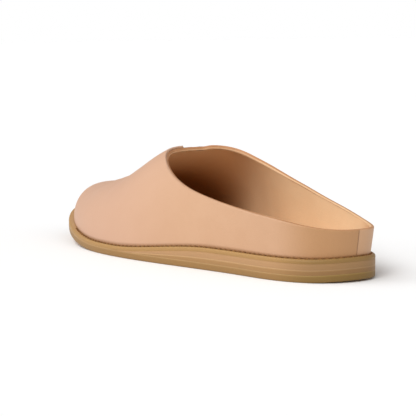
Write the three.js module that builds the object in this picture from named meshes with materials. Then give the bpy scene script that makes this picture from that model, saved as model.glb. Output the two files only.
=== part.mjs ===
import * as THREE from 'three';

// A left mule. Millimetres, +X from the heel to the toe, +Y to the outer side, +Z up, floor at Z 0.
// The stations below run from the back of the sole; the origin lies under the heel seat.

// Main sizes.
const SOLE_LENGTH = 258;
const BALL_WIDTH = 104;
const HEEL_HEIGHT = 12.2;
const FOREPART_HEIGHT = 6.3;
const TOE_SPRING = 12;
const INSTEP_HEIGHT = 54;
const HEEL_WALL_HEIGHT = 13.8;
const HEEL_SEAT_AT = 0.125;

// Sole.
const OUTSOLE_THICK = 3.6;
const WELT_THICK = 2.1;
const HEEL_BEVEL = 1;
const EDGE_ROUND = 0.5;
const LAYER_GAP = 0.3;
const LIFT_TIP = 0.45;
const LOWER_LIFT_SHARE = 0.45;
const LIFT_FULL_TO = 0.29;
const LIFT_GONE_AT = 0.6;
const SPRING_FROM = 0.66;
const SPRING_POWER = 1.6;
const LIFT_DROP_LENGTH = 6;

// Outline ends, as lengths along the sole and the power of their round.
const HEEL_ROUND = 0.18 * SOLE_LENGTH;
const HEEL_POWER = 2.19;
const TOE_ROUND = 0.29 * SOLE_LENGTH;
const TOE_POWER = 2.17;

// Ledge of the welt that shows around the upper.
const LEDGE_SIDE = 1.6;
const LEDGE_HEEL = 2.6;
const LEDGE_TOE = 3.4;

// Upper.
const WALL = 2;
const WRAP_THICK = 1;
const WRAP_SKIVE = 0.5;
const WRAP_STEP = WRAP_THICK + LAYER_GAP;
const SKIVE_LENGTH = 30;
const THROAT_AT = 0.57;
const HEEL_FLARE = 3;
const FLARE_LENGTH = 0.25;
const FLARE_HEIGHT = 20;
const RIDGE_SHIFT = 3;
const TOE_CAP_LENGTH = 43;
const TOE_CAP_POWER = 2.15;
const SECTION_POWER_FRONT = 2.3;
const SECTION_POWER_HEEL = 3.1;
const SEAM_END_AT = 0.845;
const SEAM_BOW = 1.2;
const SEAM_DROP = 0.78;
const SEAM_EASE_BEFORE = 30;
const SEAM_EASE_AFTER = 4;

// Footbed.
const FOOTBED_THICK = 3;
const FOOTBED_GAP = 0.5;
const FOOTBED_ROUND = 0.8;

// Half widths of the sole and its middle line, as shares of the ball width, along the sole length.
const OUTLINE = [
  { at: 0.0, lateral: 0.304, medial: 0.304, middle: -0.029 },
  { at: 0.16, lateral: 0.314, medial: 0.314, middle: -0.011 },
  { at: 0.28, lateral: 0.356, medial: 0.338, middle: -0.001 },
  { at: 0.4, lateral: 0.416, medial: 0.39, middle: 0.001 },
  { at: 0.52, lateral: 0.468, medial: 0.466, middle: -0.002 },
  { at: 0.64, lateral: 0.483, medial: 0.517, middle: -0.012 },
  { at: 0.74, lateral: 0.454, medial: 0.507, middle: -0.024 },
  { at: 0.86, lateral: 0.396, medial: 0.462, middle: -0.038 },
  { at: 1.0, lateral: 0.329, medial: 0.38, middle: -0.053 },
];

// Height of the ridge above the sole, as a share of the instep height, along the upper.
const RIDGE = [
  { at: 0.0, height: 1.28 },
  { at: 0.25, height: 1.2 },
  { at: 0.48, height: 1.08 },
  { at: 0.56, height: 1.035 },
  { at: 0.62, height: 0.9 },
  { at: 0.7, height: 0.714 },
  { at: 0.78, height: 0.588 },
  { at: 0.86, height: 0.458 },
  { at: 0.93, height: 0.42 },
  { at: 1.0, height: 0.47 },
];

// Height of the collar: 0 along is the middle of the throat and 1 the back of the heel.
// A height of 1 is that of the throat and 0 that of the heel wall.
const COLLAR = [
  { at: 0.0, lateral: 1, medial: 1 },
  { at: 0.12, lateral: 0.995, medial: 1.022 },
  { at: 0.25, lateral: 0.947, medial: 0.98 },
  { at: 0.42, lateral: 0.74, medial: 0.785 },
  { at: 0.62, lateral: 0.396, medial: 0.465 },
  { at: 0.82, lateral: 0.196, medial: 0.185 },
  { at: 0.93, lateral: 0.11, medial: 0.03 },
  { at: 1.0, lateral: 0, medial: 0 },
];

// Grid of the modelled faces.
const REAR_COLUMNS = 26;
const FRONT_COLUMNS = 24;
const ROWS = 12;
const SEAM_ROWS = 11;
const SOLE_STATIONS = 46;
const LIFT_STATIONS = 30;
const COLUMN_CROWDING = 2.2;

const clamp = (v) => Math.min(1, Math.max(0, v));
const mix = (a, b, s) => a + (b - a) * s;
const ease = (v) => clamp(v) ** 2 * (3 - 2 * clamp(v));

// Natural cubic through one column of a table.
function curve(rows, key) {
  const x = rows.map((row) => row.at);
  const y = rows.map((row) => row[key]);
  const last = x.length - 1;
  const bend = x.map(() => 0);
  const upper = x.map(() => 0);
  const right = x.map(() => 0);
  for (let i = 1; i < last; i += 1) {
    const back = x[i] - x[i - 1];
    const ahead = x[i + 1] - x[i];
    const pivot = 2 * (back + ahead) - back * upper[i - 1];
    const turn = (y[i + 1] - y[i]) / ahead - (y[i] - y[i - 1]) / back;
    upper[i] = ahead / pivot;
    right[i] = (6 * turn - back * right[i - 1]) / pivot;
  }
  for (let i = last - 1; i > 0; i -= 1) {
    bend[i] = right[i] - upper[i] * bend[i + 1];
  }
  return (v) => {
    const u = Math.min(Math.max(v, x[0]), x[last]);
    let i = 0;
    while (i < last - 1 && u > x[i + 1]) {
      i += 1;
    }
    const span = x[i + 1] - x[i];
    const b = (u - x[i]) / span;
    const a = 1 - b;
    const bulge = (a ** 3 - a) * bend[i] + (b ** 3 - b) * bend[i + 1];
    return a * y[i] + b * y[i + 1] + bulge * span * span / 6;
  };
}

const lateralHalf = curve(OUTLINE, 'lateral');
const medialHalf = curve(OUTLINE, 'medial');
const middleLine = curve(OUTLINE, 'middle');
const ridgeShare = curve(RIDGE, 'height');

// Rounds off both ends of a form between two stations: 1 along the middle, 0 at either end.
function ends(x, heelEnd, toeEnd) {
  const heel = clamp((heelEnd + HEEL_ROUND - x) / HEEL_ROUND);
  const toe = clamp((x - toeEnd + TOE_ROUND) / TOE_ROUND);
  const atHeel = (1 - heel ** HEEL_POWER) ** (1 / HEEL_POWER);
  const atToe = (1 - toe ** TOE_POWER) ** (1 / TOE_POWER);
  return atHeel * atToe;
}

// Edges of a form at x, each drawn in from the edge of the sole by its own inset.
function edges(x, insets, heelEnd, toeEnd) {
  const along = clamp((x - heelEnd) / (toeEnd - heelEnd));
  const full = ends(x, heelEnd, toeEnd);
  const middle = middleLine(along) * BALL_WIDTH;
  const lateral = lateralHalf(along) * BALL_WIDTH - insets.lateral;
  const medial = -medialHalf(along) * BALL_WIDTH + insets.medial;
  return {
    middle,
    lateral: middle + (lateral - middle) * full,
    medial: middle + (medial - middle) * full,
  };
}

// Heights of the sole at x.
function floorSide(x) {
  const along = x / SOLE_LENGTH;
  const spring = clamp((along - SPRING_FROM) / (1 - SPRING_FROM)) ** SPRING_POWER;
  const bevel = clamp((0.06 - along) / 0.06) ** 2;
  return TOE_SPRING * spring + HEEL_BEVEL * bevel;
}

function soleThick(x) {
  const down = ease((x / SOLE_LENGTH - LIFT_FULL_TO) / (LIFT_GONE_AT - LIFT_FULL_TO));
  return mix(HEEL_HEIGHT, FOREPART_HEIGHT, down);
}

const upperBase = (x) => floorSide(x) + soleThick(x);
const weltTop = (x) => upperBase(x) - LAYER_GAP;
const weltUnder = (x) => weltTop(x) - WELT_THICK;
const outsoleTop = (x) => floorSide(x) + OUTSOLE_THICK;
const liftRoom = (x) => Math.max(0, weltUnder(x) - outsoleTop(x) - 3 * LAYER_GAP);

// A body from points and triangles: equal points are joined and flat triangles left out.
function body(name, points, triangles, material) {
  const seen = new Map();
  const place = [];
  const positions = [];
  points.forEach((point) => {
    const key = point.map((v) => Math.round(v * 2000)).join(' ');
    if (!seen.has(key)) {
      seen.set(key, positions.length / 3);
      positions.push(point[0] - HEEL_SEAT_AT * SOLE_LENGTH, point[1], point[2]);
    }
    place.push(seen.get(key));
  });
  const index = [];
  triangles.forEach((triangle) => {
    const [a, b, c] = triangle.map((i) => place[i]);
    if (a !== b && b !== c && c !== a) {
      index.push(a, b, c);
    }
  });
  const geometry = new THREE.BufferGeometry();
  geometry.setAttribute('position', new THREE.Float32BufferAttribute(positions, 3));
  geometry.setIndex(index);
  geometry.computeVertexNormals();
  const mesh = new THREE.Mesh(geometry, material);
  mesh.name = name;
  return mesh;
}

// Unit normals of a closed loop in plan, pointing outward. The loop runs lateral side, toe, medial side.
function planNormals(loop) {
  const count = loop.length;
  return loop.map((point, i) => {
    const before = loop[(i + count - 1) % count];
    const after = loop[(i + 1) % count];
    const dx = after[0] - before[0];
    const dy = after[1] - before[1];
    const size = Math.hypot(dx, dy) || 1;
    return [-dy / size, dx / size];
  });
}

// A flat layer from pairs of edge points, with its heights given along x and its edges rounded.
function layer(name, pairs, under, top, round, material) {
  const toeJoined = Math.abs(pairs.at(-1).lateral - pairs.at(-1).medial) < 1e-6;
  const lateral = pairs.map((pair) => [pair.x, pair.lateral]);
  const medial = pairs.slice(1, toeJoined ? -1 : undefined).map((pair) => [pair.x, pair.medial]);
  const loop = [...lateral, ...medial.reverse()];
  const normals = planNormals(loop);
  const count = loop.length;
  const thin = (x) => Math.min(round, 0.3 * (top(x) - under(x)));
  const rings = [
    { inset: 1, height: (x) => under(x) },
    { inset: 0, height: (x) => under(x) + thin(x) },
    { inset: 0, height: (x) => top(x) - thin(x) },
    { inset: 1, height: (x) => top(x) },
  ];
  const points = [];
  rings.forEach((ring) => {
    loop.forEach(([x, y], i) => {
      const inset = ring.inset * thin(x);
      const z = ring.height(x);
      points.push([x - normals[i][0] * inset, y - normals[i][1] * inset, z]);
    });
  });
  const triangles = [];
  for (let r = 0; r < 3; r += 1) {
    for (let i = 0; i < count; i += 1) {
      const a = r * count + i;
      const b = r * count + (i + 1) % count;
      triangles.push([a, a + count, b], [b, a + count, b + count]);
    }
  }
  const across = (i) => (count - i) % count;
  for (let i = 0; i < pairs.length - 1; i += 1) {
    const j = i + 1;
    const t = 3 * count;
    triangles.push([i, j, across(i)], [across(i), j, across(j)]);
    triangles.push([t + i, t + across(i), t + j], [t + across(i), t + across(j), t + j]);
  }
  return body(name, points, triangles, material);
}

// Stations between two ends, close together where the outline turns.
function solePairs(count, heelEnd, toeEnd, inset) {
  const pairs = [];
  for (let i = 0; i <= count; i += 1) {
    const x = mix(heelEnd, toeEnd, (1 - Math.cos(Math.PI * i / count)) / 2);
    pairs.push({ x, ...edges(x, { lateral: inset, medial: inset }, 0, SOLE_LENGTH) });
  }
  return pairs;
}

// Stations from the heel to a straight front edge.
function liftPairs(frontEnd) {
  const pairs = [];
  for (let i = 0; i <= LIFT_STATIONS; i += 1) {
    const x = frontEnd * (1 - Math.cos(Math.PI / 2 * i / LIFT_STATIONS));
    pairs.push({ x, ...edges(x, { lateral: 0, medial: 0 }, 0, SOLE_LENGTH) });
  }
  return pairs;
}

// Station where the room for the lifts has shrunk to a given thickness.
function liftEnd(room) {
  let from = LIFT_FULL_TO * SOLE_LENGTH;
  let to = LIFT_GONE_AT * SOLE_LENGTH;
  for (let i = 0; i < 40; i += 1) {
    const x = (from + to) / 2;
    if (liftRoom(x) > room) {
      from = x;
    } else {
      to = x;
    }
  }
  return from;
}

const lowerLiftEnd = liftEnd(LIFT_TIP / LOWER_LIFT_SHARE);
const upperLiftEnd = liftEnd(LIFT_TIP - LAYER_GAP);
const lowerLiftTop = (x) => outsoleTop(x) + LAYER_GAP + LOWER_LIFT_SHARE * liftRoom(x);
function upperLiftUnder(x) {
  const past = ease((x - lowerLiftEnd) / LIFT_DROP_LENGTH);
  return mix(lowerLiftTop(x) + LAYER_GAP, outsoleTop(x) + LAYER_GAP, past);
}

// Insets of the shell: the lateral side and the toe leave room for the wrap that lies on them.
const SHELL_HEEL_END = LEDGE_HEEL;
const SHELL_TOE_END = SOLE_LENGTH - LEDGE_TOE - WRAP_STEP;
const THROAT_X = THROAT_AT * SOLE_LENGTH;
const SEAM_END_X = SEAM_END_AT * SOLE_LENGTH;
function shellInsets(x) {
  const ahead = ease((x - SEAM_END_X + SEAM_EASE_BEFORE) / (SEAM_EASE_BEFORE + SEAM_EASE_AFTER));
  return { lateral: LEDGE_SIDE + WRAP_STEP, medial: LEDGE_SIDE + WRAP_STEP * ahead };
}

function ridgeHeight(x) {
  const along = clamp((x - SHELL_HEEL_END) / (SHELL_TOE_END - SHELL_HEEL_END));
  const cap = clamp((x - SHELL_TOE_END + TOE_CAP_LENGTH) / TOE_CAP_LENGTH);
  const round = (1 - cap ** TOE_CAP_POWER) ** (1 / TOE_CAP_POWER);
  return (ridgeShare(along) * INSTEP_HEIGHT - WRAP_STEP) * round;
}

function sectionPower(x) {
  const along = (x - SHELL_HEEL_END) / (SHELL_TOE_END - SHELL_HEEL_END);
  return mix(SECTION_POWER_FRONT, SECTION_POWER_HEEL, ease((0.5 - along) / 0.4));
}

// A point of the last: up is 0 at the sole and 1 on the ridge, side is 1 lateral and -1 medial.
function lastPoint(x, up, side) {
  const along = clamp((x - SHELL_HEEL_END) / (SHELL_TOE_END - SHELL_HEEL_END));
  const edge = edges(x, shellInsets(x), SHELL_HEEL_END, SHELL_TOE_END);
  const beside = ends(x, SHELL_HEEL_END, SHELL_TOE_END);
  const ridge = edge.middle - RIDGE_SHIFT * ease(1 - Math.abs(along - 0.55) / 0.45) * beside;
  const foot = side > 0 ? edge.lateral : edge.medial;
  const power = 2 / sectionPower(x);
  const rise = ridgeHeight(x) * Math.sin(up * Math.PI / 2) ** power;
  const wide = Math.max(0, Math.cos(up * Math.PI / 2)) ** power;
  const lean = ease((FLARE_LENGTH - along) / FLARE_LENGTH) * HEEL_FLARE * rise / FLARE_HEIGHT;
  const y = ridge + (foot - ridge) * wide + side * lean * beside * wide;
  return [x - lean * (1 - beside ** 2), y, upperBase(x) + rise];
}

// Where the collar crosses a column: its station, and how far up the section it lies.
const collarCurve = { lateral: curve(COLLAR, 'lateral'), medial: curve(COLLAR, 'medial') };
function collarPoint(u, side) {
  const along = Math.sin(Math.PI / 2 * u) ** 2;
  const x = THROAT_X - (THROAT_X - SHELL_HEEL_END) * along ** 2;
  const share = collarCurve[side > 0 ? 'lateral' : 'medial'](along);
  const z = mix(HEEL_WALL_HEIGHT, ridgeHeight(THROAT_X), share);
  const part = clamp(z / ridgeHeight(x));
  return { x, up: Math.asin(part ** (sectionPower(x) / 2)) * 2 / Math.PI };
}

// Columns of the shell: from the heel to the throat they end at the collar, then on the ridge.
function column(k, side) {
  if (k < REAR_COLUMNS) {
    const u = 1 - k / REAR_COLUMNS;
    const rim = collarPoint(u, side);
    const back = Math.sin(Math.PI / 2 * u) ** COLUMN_CROWDING;
    const foot = THROAT_X - (THROAT_X - SHELL_HEEL_END) * back;
    return { foot, rim: rim.x, up: rim.up };
  }
  const u = (k - REAR_COLUMNS) / FRONT_COLUMNS;
  const x = THROAT_X + (SHELL_TOE_END - THROAT_X) * Math.sin(Math.PI / 2 * u);
  return { foot: x, rim: x, up: 1 };
}
const COLUMNS = REAR_COLUMNS + FRONT_COLUMNS;

function columnPoint(k, v, side) {
  const { foot, rim, up } = column(k, side);
  return lastPoint(mix(foot, rim, v), up * v, side);
}

// Height of the wrap's seam on the medial side: it leaves the throat and runs down towards the toe.
function seamUp(x) {
  const along = clamp((x - THROAT_X) / (SEAM_END_X - THROAT_X));
  return (1 - along ** SEAM_BOW) ** SEAM_DROP;
}

// Normals of a patch, averaged over joined points; on the base line they lie level.
function patchNormals(points, triangles, level) {
  const sums = new Map();
  const key = (point) => point.map((v) => Math.round(v * 2000)).join(' ');
  triangles.forEach((triangle) => {
    const [a, b, c] = triangle.map((i) => new THREE.Vector3(...points[i]));
    const normal = b.clone().sub(a).cross(c.clone().sub(a));
    triangle.forEach((i) => {
      const k = key(points[i]);
      sums.set(k, (sums.get(k) || new THREE.Vector3()).add(normal));
    });
  });
  return points.map((point, i) => {
    const normal = sums.get(key(point)).clone();
    if (level[i]) {
      normal.z = 0;
    }
    return normal.normalize();
  });
}

// A point moved along its normal; on the base line it keeps to the height of the base.
function moved(point, normal, by, level) {
  const x = point[0] + normal.x * by;
  const z = level ? upperBase(x) : point[2] + normal.z * by;
  return [x, point[1] + normal.y * by, z];
}

// Closes a patch into a body between two offsets along its normals.
function thicken(name, patch, inner, outer, material) {
  const { points, triangles, level, rim } = patch;
  const normals = patchNormals(points, triangles, level);
  const count = points.length;
  const all = [
    ...points.map((point, i) => moved(point, normals[i], outer(point), level[i])),
    ...points.map((point, i) => moved(point, normals[i], inner, level[i])),
  ];
  const faces = [];
  triangles.forEach(([a, b, c]) => {
    faces.push([a, b, c], [a + count, c + count, b + count]);
  });
  rim.forEach((a, i) => {
    const b = rim[(i + 1) % rim.length];
    faces.push([a, a + count, b], [b, a + count, b + count]);
  });
  return body(name, all, faces, material);
}

// Grid of the shell: the lateral half, the medial half, and the loops of its collar and base.
function shellPatch() {
  const points = [];
  const level = [];
  const triangles = [];
  const at = {};
  [1, -1].forEach((side) => {
    at[side] = (k, r) => (side > 0 ? 0 : (COLUMNS + 1) * (ROWS + 1)) + k * (ROWS + 1) + r;
    for (let k = 0; k <= COLUMNS; k += 1) {
      for (let r = 0; r <= ROWS; r += 1) {
        points.push(columnPoint(k, r / ROWS, side));
        level.push(r === 0 || k === COLUMNS);
      }
    }
    for (let k = 0; k < COLUMNS; k += 1) {
      for (let r = 0; r < ROWS; r += 1) {
        const [a, b, c, d] = [at[side](k, r), at[side](k + 1, r), at[side](k + 1, r + 1), at[side](k, r + 1)];
        if (side > 0) {
          triangles.push([a, d, b], [b, d, c]);
        } else {
          triangles.push([a, b, d], [b, c, d]);
        }
      }
    }
  });
  return { points, level, triangles, at };
}

function hollowShell(name, material) {
  const patch = shellPatch();
  const { points, triangles, level, at } = patch;
  const normals = patchNormals(points, triangles, level);
  const count = points.length;
  const inner = points.map((point, i) => moved(point, normals[i], -WALL, level[i]));
  const faces = [];
  triangles.forEach(([a, b, c]) => {
    faces.push([a, b, c], [a + count, c + count, b + count]);
  });
  const strip = (a, b) => {
    faces.push([a, b, a + count], [b, b + count, a + count]);
  };
  for (let k = 0; k < COLUMNS; k += 1) {
    strip(at[1](k, 0), at[1](k + 1, 0));
    strip(at[-1](k + 1, 0), at[-1](k, 0));
  }
  for (let k = 0; k < REAR_COLUMNS; k += 1) {
    strip(at[1](k + 1, ROWS), at[1](k, ROWS));
    strip(at[-1](k, ROWS), at[-1](k + 1, ROWS));
  }
  return body(name, [...points, ...inner], faces, material);
}

// Grid of the wrap: the lateral half, then over the ridge to the seam on the medial side.
function wrapPatch() {
  const points = [];
  const level = [];
  const triangles = [];
  const last = ROWS + SEAM_ROWS;
  const at = (k, r) => k * (last + 1) + r;
  for (let k = 0; k <= COLUMNS; k += 1) {
    for (let r = 0; r <= last; r += 1) {
      if (r <= ROWS) {
        points.push(columnPoint(k, r / ROWS, 1));
      } else if (k <= REAR_COLUMNS) {
        points.push(columnPoint(k, 1, 1));
      } else {
        const { foot } = column(k, 1);
        points.push(lastPoint(foot, mix(1, seamUp(foot), (r - ROWS) / SEAM_ROWS), -1));
      }
      const onMedialBase = r === last && column(k, 1).foot >= SEAM_END_X;
      level.push(r === 0 || k === COLUMNS || onMedialBase);
    }
  }
  for (let k = 0; k < COLUMNS; k += 1) {
    for (let r = 0; r < (k < REAR_COLUMNS ? ROWS : last); r += 1) {
      const [a, b, c, d] = [at(k, r), at(k + 1, r), at(k + 1, r + 1), at(k, r + 1)];
      triangles.push([a, d, b], [b, d, c]);
    }
  }
  const rim = [];
  for (let k = COLUMNS; k > 0; k -= 1) {
    rim.push(at(k, 0));
  }
  for (let r = 0; r < ROWS; r += 1) {
    rim.push(at(0, r));
  }
  for (let k = 0; k < REAR_COLUMNS; k += 1) {
    rim.push(at(k, ROWS));
  }
  for (let k = REAR_COLUMNS; k < COLUMNS; k += 1) {
    rim.push(at(k, last));
  }
  return { points, level, triangles, rim };
}

function wrapOuter(point) {
  const back = 1 - ease((point[0] - SHELL_HEEL_END) / SKIVE_LENGTH);
  return LAYER_GAP + mix(WRAP_THICK, WRAP_SKIVE, back);
}

// The footbed follows the base line of the shell inside its wall.
function footbedLoop() {
  const lateral = [];
  const medial = [];
  for (let k = 0; k <= COLUMNS; k += 1) {
    const { foot } = column(k, 1);
    const edge = edges(foot, shellInsets(foot), SHELL_HEEL_END, SHELL_TOE_END);
    lateral.push([foot, edge.lateral]);
    medial.push([foot, edge.medial]);
  }
  const loop = [...lateral, ...medial.slice(1, -1).reverse()];
  const normals = planNormals(loop);
  const drawIn = WALL + FOOTBED_GAP;
  const drawn = loop.map(([x, y], i) => [x - normals[i][0] * drawIn, y - normals[i][1] * drawIn]);
  return drawn;
}

function footbed(name, material) {
  const loop = footbedLoop();
  const count = loop.length;
  const normals = planNormals(loop);
  const under = (x) => weltTop(x) + LAYER_GAP;
  const rings = [
    { inset: 0, rise: 0 },
    { inset: 0, rise: FOOTBED_THICK - FOOTBED_ROUND },
    { inset: FOOTBED_ROUND, rise: FOOTBED_THICK },
  ];
  const points = [];
  rings.forEach((ring) => {
    loop.forEach(([x, y], i) => {
      const inX = x - normals[i][0] * ring.inset;
      const inY = y - normals[i][1] * ring.inset;
      points.push([inX, inY, under(inX) + ring.rise]);
    });
  });
  const faces = [];
  for (let r = 0; r < 2; r += 1) {
    for (let i = 0; i < count; i += 1) {
      const a = r * count + i;
      const b = r * count + (i + 1) % count;
      faces.push([a, a + count, b], [b, a + count, b + count]);
    }
  }
  const across = (i) => (count - i) % count;
  for (let i = 0; i < count / 2; i += 1) {
    const j = i + 1;
    const t = 2 * count;
    faces.push([i, j, across(i)], [across(i), j, across(j)]);
    faces.push([t + i, t + across(i), t + j], [t + across(i), t + across(j), t + j]);
  }
  return body(name, points, faces, material);
}

const paint = (color, roughness) => new THREE.MeshStandardMaterial({ color, roughness, metalness: 0 });
const upperLeather = paint(0xdcae8a, 0.55);
const wrapLeather = paint(0xe0b492, 0.55);
const weltLeather = paint(0xc39a6c, 0.6);
const liftLeather = paint(0xc8a078, 0.65);
const outsoleLeather = paint(0xb98f5a, 0.6);
const footbedLeather = paint(0xd59a62, 0.6);

const group = new THREE.Group();
group.name = 'mule';
const solePlan = solePairs(SOLE_STATIONS, 0, SOLE_LENGTH, 0);
group.add(
  layer('outsole', solePlan, floorSide, outsoleTop, EDGE_ROUND, outsoleLeather),
  layer(
    'heel_lift_lower',
    liftPairs(lowerLiftEnd),
    (x) => outsoleTop(x) + LAYER_GAP,
    lowerLiftTop,
    EDGE_ROUND,
    liftLeather,
  ),
  layer(
    'heel_lift_upper',
    liftPairs(upperLiftEnd),
    upperLiftUnder,
    (x) => weltUnder(x) - LAYER_GAP,
    EDGE_ROUND,
    liftLeather,
  ),
  layer('welt', solePlan, weltUnder, weltTop, EDGE_ROUND, weltLeather),
  footbed('footbed', footbedLeather),
  hollowShell('upper', upperLeather),
  thicken('wrap_panel', wrapPatch(), LAYER_GAP, wrapOuter, wrapLeather),
);

export default group;
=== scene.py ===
import math

import bpy
import numpy as np
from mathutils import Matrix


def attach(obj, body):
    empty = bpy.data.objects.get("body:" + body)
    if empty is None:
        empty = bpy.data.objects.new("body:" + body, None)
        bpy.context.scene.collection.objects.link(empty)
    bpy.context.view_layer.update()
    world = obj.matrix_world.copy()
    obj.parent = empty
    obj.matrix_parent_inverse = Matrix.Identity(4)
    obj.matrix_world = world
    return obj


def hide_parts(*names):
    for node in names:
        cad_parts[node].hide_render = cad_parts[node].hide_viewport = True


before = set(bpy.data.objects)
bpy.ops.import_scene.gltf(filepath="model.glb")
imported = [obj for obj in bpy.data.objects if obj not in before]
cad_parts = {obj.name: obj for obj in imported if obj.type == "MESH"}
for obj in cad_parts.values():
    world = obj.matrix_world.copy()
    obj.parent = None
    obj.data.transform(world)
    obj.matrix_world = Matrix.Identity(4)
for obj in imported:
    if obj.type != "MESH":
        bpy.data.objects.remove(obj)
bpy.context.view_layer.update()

# Sizes in millimetres. Stations are measured from the back of the sole; the frame's origin lies under
# the heel seat.
SOLE_LENGTH = 258.0
BALL_WIDTH = 104.0
HEEL_HEIGHT = 12.2
FOREPART_HEIGHT = 6.3
TOE_SPRING = 12.0
INSTEP_HEIGHT = 54.0
HEEL_WALL_HEIGHT = 13.8
HEEL_SEAT = 0.125 * SOLE_LENGTH
OUTSOLE_THICK = 3.6
WELT_THICK = 2.1
HEEL_BEVEL = 1.0
LAYER_GAP = 0.3
HEEL_ROUND = 0.18 * SOLE_LENGTH
TOE_ROUND = 0.29 * SOLE_LENGTH
LEDGE_SIDE = 1.6
LEDGE_HEEL = 2.6
LEDGE_TOE = 3.4
WALL = 2.3
WRAP_STEP = 1.3
WRAP_AT_BACK = 0.35
SKIVE_LENGTH = 30.0
THROAT_X = 0.57 * SOLE_LENGTH
SEAM_END_X = 0.845 * SOLE_LENGTH
HEEL_FLARE = 3.0
FLARE_HEIGHT = 20.0
RIDGE_SHIFT = 3.0
TOE_CAP_LENGTH = 43.0
FOOTBED_THICK = 3.0
SHELL_HEEL_END = LEDGE_HEEL
SHELL_TOE_END = SOLE_LENGTH - LEDGE_TOE - WRAP_STEP
# On the medial side the shell draws in by the wrap's step over this stretch around the seam's end.
SEAM_EASE_BEFORE = 30.0
SEAM_EASE_AFTER = 4.0

# Shares of the sole's length.
LIFT_FULL_TO = 0.29
LIFT_GONE_AT = 0.6
SPRING_FROM = 0.66
HEEL_BEVEL_LENGTH = 0.06
STITCHES_TO = 0.8
# Shares of the upper's length.
FLARE_LENGTH = 0.25
SECTION_TURN_AT = 0.5
SECTION_TURN_LENGTH = 0.4
RIDGE_SHIFT_AT = 0.55
RIDGE_SHIFT_REACH = 0.45
# Beside the throat the wrap ends at this share of the lateral section, and after this share of its run
# it has reached the seam's own course.
SEAM_START = 0.92
SEAM_START_EASE = 0.3
# The lower lift's share of the room between outsole and welt.
LOWER_LIFT_SHARE = 0.45
# Powers of the curves.
SPRING_POWER = 1.6
HEEL_POWER = 2.19
TOE_POWER = 2.17
TOE_CAP_POWER = 2.15
SECTION_POWER_FRONT = 2.3
SECTION_POWER_HEEL = 3.1
SEAM_BOW = 1.2
SEAM_DROP = 0.78

# How finely the last is divided, and how its columns spread from the throat to the heel.
REAR_COLUMNS = 110
FRONT_COLUMNS = 96
COLUMNS = REAR_COLUMNS + FRONT_COLUMNS
ROWS = 40
SEAM_ROWS = 20
COLUMN_CROWDING = 2.2
COLUMN_SPREAD = 0.6
LENGTH_SAMPLES = 7
# Room before the last row of each column for its rounded edge: in mm, and the largest share it takes.
RIM_ROOM = 2.2
RIM_ROOM_SHARE = 0.3
# How quickly the medial rim leaves the ridge behind the throat.
THROAT_TURN = 0.36

# Rounded edges of the leather in mm, and the largest shares of its thickness that they take.
SHELL_ROUND_OUT = 0.5
SHELL_ROUND_IN = 1.1
WRAP_ROUND_OUT = 0.55
WRAP_ROUND_IN = 0.1
BASE_ROUND = 0.02
ROUND_OUT_LIMIT = 0.6
ROUND_IN_LIMIT = 0.35
QUARTER_TURN = np.radians([0, 22.5, 45, 67.5, 90])
# Material slots of a leather sheet, and the strips of its edge that the outer face and the roll take.
OUTER_SLOT = 0
INNER_SLOT = 1
EDGE_SLOT = 2
ROLL_SLOT = 3
OUTER_STRIPS = 2
ROLL_FROM_STRIP = 5
# The wrap's edge shows its cut face from just ahead of the throat, and at the back of the heel this
# deep and this high.
CUT_EDGE_FROM = 0.3
BACK_EDGE_DEPTH = 1.5
BACK_EDGE_HEIGHT = 13.0
# Gap between the wrap and the shell at the back of the heel, and ahead of the wrap's thinned stretch.
WRAP_GAP_AT_BACK = 0.05
WRAP_GAP = 0.12

# The layers of the sole touch to the eye: each grows into the modelled gaps, up to a fine joint line.
JOINT = 0.02
GROW = LAYER_GAP / 2 - JOINT / 2
# How the two lifts end: the lower one's tip, its thickness before it, and the room where the upper one
# ends, which is negative because the lifts grow into the gaps.
LIFT_TIP_LENGTH = 9.0
LIFT_TIP_THICK = 0.03
LOWER_LIFT_END_THICK = 0.45
UPPER_LIFT_END_ROOM = -0.55
LIFT_SAMPLES = 4000
# Edges of the layers: the largest share of the thickness that a rounding takes, the rows between the
# roundings, and the height of the line along the top.
EDGE_ROUND_LIMIT = 0.42
EDGE_WALL_ROWS = (0.12, 0.3, 0.5, 0.7, 0.86, 0.95)
TOP_LINE = 0.55

# The footbed lies just inside the wall and rises to a low rim, a little darker at its top.
FOOTBED_ROWS = 31
FOOTBED_CLEARANCE = 0.15
FOOTBED_SINK = 0.6
FOOTBED_LIFT = 0.02
CUP_HEIGHT = 2.2
CUP_WIDTH = 13.0
CUP_EDGE_DROP = 0.4
AT_EDGE = 0.01
CUP_TINT_FROM = 2.6
CUP_TINT_HEIGHT = 2.0
CUP_TINT = 0.5

# The stitches lie this far outside the upper and above the welt.
STITCH_OUT = 0.42
STITCH_UP = 0.18

# Where the tints of the leather lie: stations and lengths along the shoe, and a height at its base. The
# heel, toe and base tints are painted shade; the vamp tint is a tone of the leather.
HEEL_SHADE_FROM = 6.0
HEEL_SHADE_LENGTH = 26.0
VAMP_TINT_FROM = 80.0
VAMP_TINT_LENGTH = 90.0
VAMP_TINT = 0.75
TOE_SHADE_BEFORE = 6.0
TOE_SHADE_LENGTH = 50.0
BASE_SHADE_HEIGHT = 1.6
# The line down the back of the heel, in mm.
BACK_SEAM_DEPTH = 4.0
BACK_SEAM_HALF_WIDTH = 0.6
# Strengths in the materials: pores and waves beside the fine grain, mottling in the roughness, and
# the share of the fine streaks in the layers' cut edges.
PORE_DEPTH = 0.35
WAVE_DEPTH = 1.4
ROUGHNESS_SPREAD = 0.12
STREAK_SHARE = 0.55
# Numbers of the Mix node's colour sockets: the two that it mixes, and its result.
MIX_A = 6
MIX_B = 7
MIX_RESULT = 2

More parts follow.
